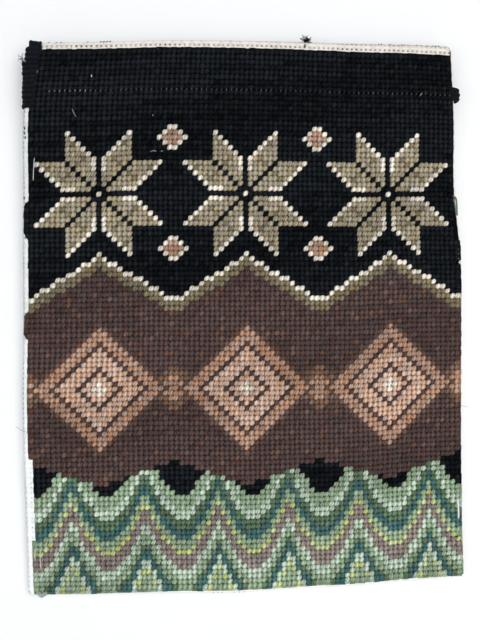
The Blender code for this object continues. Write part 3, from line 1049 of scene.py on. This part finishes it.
def sleeveLines(share):
    # how far down the top fold, the seam and the tail's lower edge lie
    top, bottom = curved(endRows, share, 1), curved(endRows, share, 2)
    fold = top - cloth["margin"]["top"] - stripWidening("top", share) - np.interp(share, *liftRows.T)
    seam = mix(top, bottom, cloth["seamRow"] / cloth["rows"])
    lower = seam + mix(*sleeve["tail"], share) + sleeve["tailUneven"] * math.sin(share * 23.0)
    return float(fold), float(seam), float(lower)


def sleeveX(share, down, lines):
    fold, seam, lower = lines
    left = -sleeve["left"] - sleeve["lean"] * (down - fold) / (lower - fold)
    nub = sleeve["nub"] * float(ease(1.0 - abs(down - seam) / sleeve["nubHalf"]))
    x = mix(-sleeve["left"], sleeve["right"], share)
    x += (left + sleeve["left"]) * float(ease(1.0 - share / sleeve["endReach"]))
    return x + nub * float(ease((share - 1.0 + sleeve["endReach"]) / sleeve["endReach"]))


def sleeveSection(share):
    # middle line of the cloth cut across: up the front wall, over the fold, down the back to the tail
    fold, seam, lower = sleeveLines(share)
    half, bend = sleeve["thick"] / 2, sleeve["pocketRound"]
    front = cloth["foldOutside"] + sleeve["gap"] + half
    back = front + sleeve["pocketDeep"]
    tail = front + sleeve["thick"] + 0.05
    above = seam - sleeve["seamRound"]
    quarter = [math.pi / 2 * k / 8 for k in range(1, 9)]
    line = [(front, mix(lower - 0.5, fold + half, k / 14)) for k in range(15)]
    line += [(front + sleeve["pocketDeep"] * math.sin(turn), fold + half + bend * (1.0 - math.cos(turn)))
             for turn in quarter]
    line += [(back, mix(fold + half + bend, above, k / 6)) for k in range(1, 7)]
    line += [(back - (back - tail) * (1.0 - math.cos(turn)),
              above + (sleeve["seamRound"] + sleeve["belowSeam"]) * math.sin(turn)) for turn in quarter]
    line += [(tail + 0.12 * k, mix(seam + sleeve["belowSeam"], lower, k / 5)) for k in range(1, 6)]
    return line


def makeSleeve():
    ends = np.linspace(0.0, sleeve["endReach"], 8)[:-1]
    between = np.linspace(sleeve["endReach"], 1.0 - sleeve["endReach"], sleeve["stations"])
    shares = np.concatenate([ends, between, 1.0 - ends[::-1]])
    rows = []
    for share in shares:
        lines = sleeveLines(share)
        section = sleeveSection(share)
        rows.append([(sleeveX(share, down, lines), depth, -down) for depth, down in section])
    middle = np.array(rows)
    normal = unit(np.cross(np.gradient(middle, axis=0), np.gradient(middle, axis=1)))
    # small creases of handled cloth, none on the part that lies on the wall
    x, z = middle[..., 0], middle[..., 2]
    long, short = sleeve["creases"]
    crease = long * np.sin(x / 5.3 + z / 3.1) * np.sin(x / 13.0 + 1.0) + short * np.sin(x / 2.9 - z / 4.7)
    free = np.clip((sleeve["onWallFrom"] - middle[..., 1]) / 2.0, 0.0, 1.0)
    middle = middle + normal * (crease * free)[..., None]
    outer, inner = middle - normal * sleeve["halfCloth"], middle + normal * sleeve["halfCloth"]
    stations, around = middle.shape[:2]
    index = np.arange(stations * around).reshape(stations, around)
    size = stations * around
    quads = np.stack([index[:-1, :-1], index[1:, :-1], index[1:, 1:], index[:-1, 1:]], -1).reshape(-1, 4)
    rims = []
    for line in (index[0, ::-1], index[-1], index[:, 0], index[::-1, -1]):
        rims.append(np.stack([line[:-1], line[1:], size + line[1:], size + line[:-1]], -1))
    arrays = {
        "points": np.concatenate([outer.reshape(-1, 3), inner.reshape(-1, 3)]),
        "quads": np.concatenate([quads, size + quads[:, ::-1], *[rim[:, ::-1] for rim in rims]]),
    }
    piece = makePiece("sleeve_cloth", arrays, sleeveMaterial())
    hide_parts("rod_sleeve")
    print("sleeve made")


def sleeveMaterial():
    material, tree, shader = newMaterial("black cloth")
    place = objectPlace(tree)
    weave = placeGroup(tree, "weave", [("Place", place)])
    fibres = placeGroup(tree, "fibres", [("Place", place)], Fineness=2600.0)
    # painted shade: the tone darkens the weave's gaps as Crease
    tone = placeGroup(tree, "tone", [("Mottle", fibres.outputs["Mottle"]), ("Crease", weave.outputs["Gap"])],
                      Colour=(*linear(sleeve["colour"]), 1.0))
    tree.links.new(tone.outputs["Colour"], shader.inputs["Base Color"])
    height = mathNode(tree, "MULTIPLY_ADD", weave.outputs["Height"], 0.8,
                      mathNode(tree, "MULTIPLY", fibres.outputs["Height"], 0.4))
    bumpInto(tree, shader, height, 0.6, 0.00015)
    shader.inputs["Roughness"].default_value = 0.9
    shader.inputs["Sheen Weight"].default_value = 0.12
    shader.inputs["Sheen Roughness"].default_value = 0.5
    return material


# Sewing: overcast wool, seam dots, slip stitches, loose ends and lint

def acrossShare(x):
    # how far across the cloth a place lies, from 0 at the left to 1 at the right
    left, width = -104.1, 208.3
    return (x - left) / width


def bent(points, stations):
    # a smooth path through a few points
    points = np.asarray(points, float)
    padded = np.concatenate([points[:1] * 2 - points[1:2], points, points[-1:] * 2 - points[-2:-1]])
    spots = np.linspace(0, len(points) - 1 - 1e-6, stations)
    low = spots.astype(int)
    part = (spots - low)[:, None]
    a, b, c, d = (padded[low + k] for k in range(4))
    curve = (2 * a - 5 * b + 4 * c - d) * part**2 + (3 * b - a - 3 * c + d) * part**3
    return 0.5 * (2 * b + (c - a) * part + curve)


def strand(points, radius, stations=9, sides=6, taper=True):
    path = bent(points, stations)[None]
    along = unit(np.gradient(path[0], axis=0))
    guide = np.array([0.0, -1.0, 0.0]) if abs(along[:, 1]).mean() < 0.8 else np.array([0.0, 0.0, 1.0])
    up = np.broadcast_to(guide, path.shape)
    size = np.full(stations, radius)
    if taper:
        size = size * np.clip(np.minimum(np.arange(stations), np.arange(stations)[::-1]) + 0.45, 0, 1)
    return tubes(path, up, size, size, roundSection(sides))


overcast = {
    "turns": 13,
    "firstDown": 7.3,
    "pitch": 2.3,
    "radius": 1.27,
    "reach": 106.7,
    "reachesOn": 1.6,  # further from here on down, within a few turns
    "reachesFrom": 9.0,
    "reachesOver": 6.0,
    "lean": 0.012,
    "slant": 0.4,
    "cornerFrom": -105.1,
    "cornerTurns": 5,
    "cornerPitch": 1.1,
    "cornerTop": -3.95,
    "cornerRadius": 0.86,
    "nubTurns": ((22.8, 108.7, 1.2), (24.9, 109.0, 1.25), (27.0, 108.8, 1.2)),  # down, reach, radius
    "colour": (22, 25, 29),
}


def overcastLoops():
    # black wool sewn round the folded edge: beside the sleeve on the left, and over the corner
    loops = []
    top, bottom = endRows[0, 1:]
    for k in range(overcast["turns"]):
        down = overcast["firstDown"] + overcast["pitch"] * k + dice.normal(0, 0.06)
        edge = -float(curved(sideRows, (down - top) / (bottom - top), 1))
        further = float(ease((down - overcast["reachesFrom"]) / overcast["reachesOver"]))
        far = -overcast["reach"] - overcast["reachesOn"] * further - overcast["lean"] * down
        far += dice.normal(0, 0.16)
        slant = overcast["slant"] + dice.normal(0, 0.12)
        loops.append(strand([(edge + 1.6, -1.3, -down + slant), (edge + 0.4, -1.9, -down + 0.3 * slant),
                             (mix(edge, far, 0.62), -1.75, -down), (far, -0.5, -down - 0.2),
                             (far - 0.1, 0.9, -down - 0.4), (far + 0.3, 2.2, -down - slant),
                             (edge + 1.0, 2.9, -down - 1.2 * slant)],
                            overcast["radius"] + dice.normal(0, 0.04), 22, 9, False))
    for k in range(overcast["cornerTurns"]):
        x = overcast["cornerFrom"] + overcast["cornerPitch"] * k + dice.normal(0, 0.08)
        top = overcast["cornerTop"] + dice.normal(0, 0.1)
        under = -float(curved(endRows, acrossShare(x), 1))
        loops.append(strand([(x + 0.3, -1.4, under - 0.9), (x + 0.15, -1.95, under), (x, -1.8, under + 2.6),
                             (x - 0.1, -1.2, top - 0.3), (x - 0.1, -0.2, top + 0.1),
                             (x - 0.2, 0.8, top - 0.3), (x - 0.4, 1.9, under + 2.2)],
                            overcast["cornerRadius"] + dice.normal(0, 0.04), 22, 9, False))
    return joined(loops)


def nubLoops():
    # the seam's last turns of wool, round the sleeve's end on the right
    return joined([strand([(104.0, -1.3, -down + 0.5), (106.2, -1.7, -down + 0.3),
                           (reach - 0.4, -1.2, -down), (reach, 0.4, -down - 0.1),
                           (reach - 0.5, 2.0, -down - 0.2), (105.5, 2.6, -down - 0.3)],
                          radius, 22, 10, False) for down, reach, radius in overcast["nubTurns"]])


dots = {
    "first": 3,
    "last": 84,
    "brightUpTo": 11,
    "bright": (0.85, 0.28),
    "brightest": 78,
    "lean": 0.22,
    "tall": 0.52,
    "half": 0.17,
    "depth": 2.1,
    "lift": (-0.35, 0.16, 0.16, -0.35),
    "colour": (104, 110, 112),
}


def seamDots():
    # one short stitch of grey thread in each column, along the seam's groove, the first few the brightest
    column = np.arange(dots["first"], dots["last"] + 1)
    x, z = holePoint(column + 0.5, np.full(len(column), cloth["seamRow"] + 0.02))
    bright = np.where(column < dots["brightUpTo"], *dots["bright"]) + dice.normal(0, 0.14, len(column))
    bright[column == dots["brightest"]] = 1.5
    z = z + dice.normal(0, 0.1, len(column))
    lean, tall = dice.normal(dots["lean"], 0.12, len(x)), dots["tall"] + dice.normal(0, 0.1, len(x))
    share = np.array([-1.0, -0.5, 0.5, 1.0])[None, :]
    path = np.stack([x[:, None] + lean[:, None] * share,
                     -dots["depth"] - np.array(dots["lift"])[None, :] + 0.0 * x[:, None],
                     z[:, None] + tall[:, None] * share], -1)
    up = np.broadcast_to(np.array([0.0, -1.0, 0.0]), path.shape)
    return tubes(path, up, dots["half"], dots["half"], roundSection(5), np.clip(bright, 0.0, 1.6))


def tuft(centre, size, count, radius, lengths):
    # loose curled fibres about a point
    strands = []
    for _ in range(count):
        start = np.asarray(centre) + dice.normal(0, 0.3, 3) * np.asarray(size)
        heading = dice.normal(0, 1, 3) * np.asarray(size)
        heading = heading / np.linalg.norm(heading) * dice.uniform(*lengths) / 3
        curl = dice.normal(0, 0.45, (4, 3)) * np.asarray(size) / max(size)
        strands.append(strand([start + heading * k + curl[k] for k in range(4)], radius, 9, 4))
    return joined(strands)


hair = {
    "count": 2600,
    "moreAtEdges": 6.0,
    "reach": (0.8, 2.2),
    "bow": 0.35,
    "proud": (0.0, 0.35, 0.25),
    "unevenProud": (0.4, 1.6),
    "half": 0.028,
    "colour": (74, 76, 78),
}


def hairs():
    # fine fibres that stand off the wool, more of them along the edges
    cells, count = workedCells(), hair["count"]
    lastColumn, lastRow = cloth["columns"] - 2, cloth["rows"] - 1
    atEdge = (cells[:, 0] < 1) | (cells[:, 0] >= lastColumn) | (cells[:, 1] < 1) | (cells[:, 1] >= lastRow)
    weight = np.where(atEdge, hair["moreAtEdges"], 1.0)
    picked = cells[dice.choice(len(cells), count, p=weight / weight.sum())]
    x, z = holePoint(picked[:, 0] + dice.random(count), picked[:, 1] + dice.random(count))
    turn = dice.random(count) * 2 * math.pi
    reach = dice.uniform(*hair["reach"], count)
    share = np.array([0.0, 0.4, 1.0])
    bow = dice.normal(0, hair["bow"], count)
    proud = np.array(hair["proud"])[None, :] * dice.uniform(*hair["unevenProud"], (count, 1))
    path = np.stack([
        x[:, None] + np.cos(turn)[:, None] * reach[:, None] * share + bow[:, None] * share**2,
        (-2.0 + sway(x, z))[:, None] - proud,
        z[:, None] + np.sin(turn)[:, None] * reach[:, None] * share - bow[:, None] * share**2,
    ], -1)
    up = np.broadcast_to(np.array([0.0, -1.0, 0.0]), path.shape)
    return tubes(path, up, hair["half"], hair["half"], roundSection(3))


slips = {
    "pitch": 6.5,
    "first": {"left": 44.0, "right": 44.0, "bottom": 20.0},
    "lastBefore": 20.0,
    "radius": 0.16,
    # along the edge, past the hem's cut edge, proud of the canvas
    "way": ((-1.2, -1.6, 0.4), (-0.6, -0.6, 0.75), (0.7, 0.7, 0.3), (1.3, 1.4, -0.6)),
}


def hemSlips():
    # short slanting stitches behind, where the hems' cut edges are caught down on the wool
    strands = []
    for edge, first in slips["first"].items():
        cut = cloth["margin"][edge] - cloth["foldOutside"] + math.pi * cloth["foldMiddle"] + cloth["hemDeep"]
        length = edgeLength(edge)
        for spot in np.arange(first, length - slips["lastBefore"], slips["pitch"]):
            spot = spot + dice.normal(0, 0.5)
            points = [foldPoint(edge, (spot + along) / length, cut + out, proud)[0]
                      for along, out, proud in slips["way"]]
            strands.append(strand(points, slips["radius"], 7, 5))
    return strands


# Sewing and loose fibres, each a way through a few points in millimetres
sewing = {
    # centre, size, count, radius, shortest and longest fibre
    "tufts": (((30.8, -0.6, 0.9), (2.0, 0.9, 1.1), 44, 0.15, (1.2, 3.2)),
              ((-109.9, -0.5, -11.8), (1.2, 0.7, 0.5), 10, 0.12, (1.2, 2.4)),
              ((106.3, -1.7, -51.5), (0.3, 0.3, 0.6), 8, 0.2, (0.4, 0.8))),
    "doubleStitch": ((109.4, -2.8, -232.4), (109.6, -3.6, -235.2), (109.8, -3.6, -239.4),
                     (110.1, -2.9, -242.6)),
    "hemStitches": (((-103.8, -2.0, -60.2), (-103.9, -2.9, -64.0), (-104.1, -2.9, -67.4),
                     (-104.4, -2.2, -71.6)),
                    ((-102.2, -2.1, -253.6), (-102.1, -2.9, -256.8), (-102.0, -2.9, -259.8),
                     (-101.9, -2.2, -263.3)),
                    ((-104.7, -2.1, -253.8), (-104.7, -2.8, -256.6), (-104.6, -2.1, -259.3))),
    "topStitches": (-97.2, -93.4, -91.3, -78.3, -72.0, -70.5, -69.0, -67.5, 67.2, 68.7, 73.2, 79.3,
                    80.8, 82.3, 86.8, 89.3, 92.4, 95.4, 96.9, 98.4),
    "leftStitches": ((-108.5, -45.9), (-108.6, -48.3), (-108.3, -50.5), (-109.0, -79.9)),
    "bottomStitches": (-18.9, -16.7, -14.6, -8.8, -6.3, -3.7),
    "knot": ((29.4, -1.4, -1.6), (29.8, -2.1, -2.3), (29.3, -2.1, -2.8), (29.7, -1.4, -3.2)),
    "looseThreads": (((-105.4, -2.0, -195.6), (-108.4, -2.7, -194.8), (-110.6, -2.4, -194.0),
                      (-112.5, -1.6, -193.1), (-114.2, -0.6, -192.2)),
                     ((110.4, -1.9, -184.0), (112.2, -2.5, -184.3), (113.8, -2.0, -185.0),
                      (115.4, -0.8, -184.8))),
    "greenLoop": ((106.0, -1.9, -76.4), (108.0, -1.6, -77.6), (108.7, -1.0, -81.0), (109.0, -0.8, -86.1),
                  (108.2, -1.2, -84.6), (107.3, -1.7, -80.5), (106.5, -1.9, -77.8)),
    "mintTurns": ((((-103.8, -1.5, -274.2), (-103.1, -2.0, -275.9), (-101.6, -1.7, -276.8),
                    (-100.1, -1.8, -276.1), (-99.4, -1.4, -274.4)), 0.75, 14),
                  (((-103.0, -1.6, -274.6), (-101.5, -2.2, -275.9), (-100.3, -1.7, -275.0)), 0.7, 12)),
    "mintTuft": ((-101.6, -1.5, -276.6), (1.2, 0.5, 0.7), 16, 0.1, (0.8, 1.6)),
    # radius, then the way
    "lint": ((0.26, ((-76.0, -2.7, -19.6), (-75.8, -2.9, -20.8))),
             (0.06, ((-102.2, -2.6, -19.4), (-101.5, -2.9, -18.2))),
             (0.13, ((-109.2, -1.9, -12.2), (-108.4, -2.5, -13.2), (-107.4, -2.7, -14.4))),
             (0.08, ((-85.4, -2.6, -36.3), (-84.9, -2.9, -37.6), (-84.4, -2.9, -38.6),
                     (-83.4, -2.5, -40.4))),
             (0.16, ((-46.4, -2.6, -38.5), (-45.9, -2.8, -38.9))),
             (0.09, ((-47.6, -2.6, -56.5), (-45.6, -2.8, -56.1), (-44.4, -2.6, -56.4))),
             (0.1, ((-42.4, -2.6, -56.3), (-41.2, -2.8, -56.1))),
             (0.13, ((11.2, -2.7, -54.9), (14.8, -2.9, -54.7))),
             (0.24, ((90.0, -2.6, -62.4), (90.4, -2.9, -62.9)))),
    "white": (218, 220, 218),
    "dark": (60, 58, 58),
    "green": (104, 124, 104),
    "mint": (184, 198, 186),
}


def darkStitches():
    # slip stitches along the top fold, thick in two places, then short ones on the left and lower margins
    strands = []
    for x in sewing["topStitches"]:
        share = acrossShare(x)
        z = -float(curved(endRows, share, 1)) + cloth["margin"]["top"] + stripWidening("top", share) - 0.1
        thick = 0.2 if abs(x + 69.7) < 3.0 or x > 95.0 else 0.12
        points = [(x, -1.3, z - 0.7), (x + 0.4, -1.0, z + 0.05), (x + 0.9, 0.2, z + 0.2)]
        strands.append(strand(points, thick, 7, 5))
    for x, z in sewing["leftStitches"]:
        strands.append(strand([(x, -1.3, z + 0.7), (x + 0.1, -1.9, z), (x, -1.3, z - 0.7)], 0.3, 7, 5))
    for x in sewing["bottomStitches"]:
        points = [foldPoint("bottom", acrossShare(x), cloth["margin"]["bottom"] + out, proud)[0]
                  for out, proud in ((-0.9, 0.3), (-0.3, 0.72), (0.4, 0.72), (0.9, 0.3))]
        strands.append(strand(points, 0.17, 7, 5))
    strands.append(strand(sewing["knot"], 0.3, 9, 6))
    return strands + [strand(points, 0.09, 13, 4) for points in sewing["looseThreads"]]


def makeSewing():
    blackWool = yarnMaterial("wool overcast", overcast["colour"], dict(woolLook, twist=0.45))
    greyThread = yarnMaterial("thread grey", dots["colour"], dict(threadLook, **{"Seed swing": 1.8}))
    whiteThread = yarnMaterial("thread white", sewing["white"], threadLook)
    darkThread = yarnMaterial("thread dark", sewing["dark"], threadLook)
    greenWool = yarnMaterial("wool loose green", sewing["green"], woolLook)
    mintWool = yarnMaterial("wool loose mint", sewing["mint"], woolLook)
    makePiece("overcast_wool", joined([overcastLoops(), nubLoops()]), blackWool)
    makePiece("seam_stitches", seamDots(), greyThread)
    makePiece("wool_tufts", joined([tuft(*each) for each in sewing["tufts"]]), blackWool)
    white = [strand(sewing["doubleStitch"], 0.42, 11, 8)]
    white += [strand(points, 0.19, 11, 6) for points in sewing["hemStitches"]] + hemSlips()
    makePiece("white_stitches", joined(white), whiteThread)
    makePiece("dark_threads", joined(darkStitches()), darkThread)
    makePiece("green_loops", joined([strand(sewing["greenLoop"], 0.42, 22, 6)]), greenWool)
    mint = [strand(points, radius, stations, 7) for points, radius, stations in sewing["mintTurns"]]
    makePiece("mint_nub", joined(mint + [tuft(*sewing["mintTuft"])]), mintWool)
    makePiece("lint", joined([strand(points, radius, 8, 5) for radius, points in sewing["lint"]]),
              whiteThread)
    makePiece("wool_hairs", hairs(), yarnMaterial("wool hairs", hair["colour"], woolLook))
    print("sewing made")


# Stage, light and camera

stage = {
    "wallDepth": 0.0104,
    "wallLean": 0.029,
    "wallHalf": 1.6,
    "wallColour": (0.762, 0.764, 0.768, 1.0),
    "floorDrop": 0.46,
    "floorColour": (0.66, 0.66, 0.65, 1.0),
    "skyColour": (0.94, 0.97, 1.0, 1.0),
    "skyPower": 0.55,
    "lampsAim": (0.0, 0.0, -0.14),
    # place, size, power, colour
    "lamps": {"window": ((0.36, -1.0, 0.04), 0.9, 7.2, (1.0, 0.99, 0.975)),
              "room": ((-0.48, -0.85, -0.45), 1.0, 6.9, (0.92, 0.96, 1.0)),
              "behind": ((0.5, 0.9, 0.35), 0.9, 9.0, (1.0, 1.0, 1.0))},
    "aim": (-0.0030, -0.00205, -0.13985),
    "cameraPlace": (-0.0293, -0.3525, -0.13185),
    "focalPixels": 700.0,
    "longSidePixels": 640.0,
    "sensor": 36.0,
}


def plane(name, corners, material):
    mesh = bpy.data.meshes.new(name)
    mesh.from_pydata(corners, [], [(0, 1, 2, 3)])
    mesh.materials.append(material)
    thing = bpy.data.objects.new(name, mesh)
    bpy.context.scene.collection.objects.link(thing)


def wallMaterial():
    # a white wall that shows only from the front, and lets the lamps behind it through
    material, tree, shader = newMaterial("wall paint")
    shader.inputs["Base Color"].default_value = stage["wallColour"]
    shader.inputs["Roughness"].default_value = 0.9
    clear = tree.nodes.new("ShaderNodeBsdfTransparent")
    blend = tree.nodes.new("ShaderNodeMixShader")
    behind = tree.nodes.new("ShaderNodeNewGeometry").outputs["Backfacing"]
    shadow = tree.nodes.new("ShaderNodeLightPath").outputs["Is Shadow Ray"]
    tree.links.new(mathNode(tree, "MAXIMUM", behind, shadow), blend.inputs[0])
    tree.links.new(shader.outputs[0], blend.inputs[1])
    tree.links.new(clear.outputs[0], blend.inputs[2])
    tree.links.new(blend.outputs[0], tree.nodes["Material Output"].inputs["Surface"])
    return material


def place(name, data, spot, aim):
    # a lamp or camera at a spot, turned to look at another
    thing = bpy.data.objects.new(name, data)
    thing.location = spot
    thing.rotation_mode = "QUATERNION"
    thing.rotation_quaternion = (Vector(aim) - Vector(spot)).to_track_quat("-Z", "Y")
    bpy.context.scene.collection.objects.link(thing)
    return thing


def makeStage():
    depth, half, floor = stage["wallDepth"], stage["wallHalf"], -stage["floorDrop"]
    # the wall leans a little, so that the hanging's lower edge lies close to it
    foot, head = (depth + stage["wallLean"] * (z + 0.018) for z in (floor, half))
    plane("wall", [(-half, foot, floor), (half, foot, floor), (half, head, half), (-half, head, half)],
          wallMaterial())
    paint, tree, shader = newMaterial("floor paint")
    shader.inputs["Base Color"].default_value = stage["floorColour"]
    shader.inputs["Roughness"].default_value = 0.8
    plane("floor", [(-half, -half, floor), (half, -half, floor), (half, half, floor), (-half, half, floor)],
          paint)
    world = bpy.data.worlds.new("pale room")
    world.use_nodes = True
    sky = world.node_tree.nodes["Background"]
    sky.inputs["Color"].default_value = stage["skyColour"]
    sky.inputs["Strength"].default_value = stage["skyPower"]
    bpy.context.scene.world = world
    for name, (spot, size, power, colour) in stage["lamps"].items():
        data = bpy.data.lights.new(name, "AREA")
        data.shape = "DISK"
        data.size, data.energy, data.color = size, power, colour
        place(name, data, spot, stage["lampsAim"])
    data = bpy.data.cameras.new("view")
    data.sensor_width = stage["sensor"]
    data.lens = stage["sensor"] * stage["focalPixels"] / stage["longSidePixels"]
    data.clip_start, data.clip_end = 0.01, 20.0
    bpy.context.scene.camera = place("view", data, stage["cameraPlace"], stage["aim"])
    bpy.context.scene.view_settings.view_transform = "Standard"
    print("stage made")


makeStage()
makeStitches()
makeCanvas()
makeSleeve()
makeSewing()

faces = sum(len(thing.data.polygons) for thing in bpy.data.objects if thing.type == "MESH")
print("faces in all:", faces)
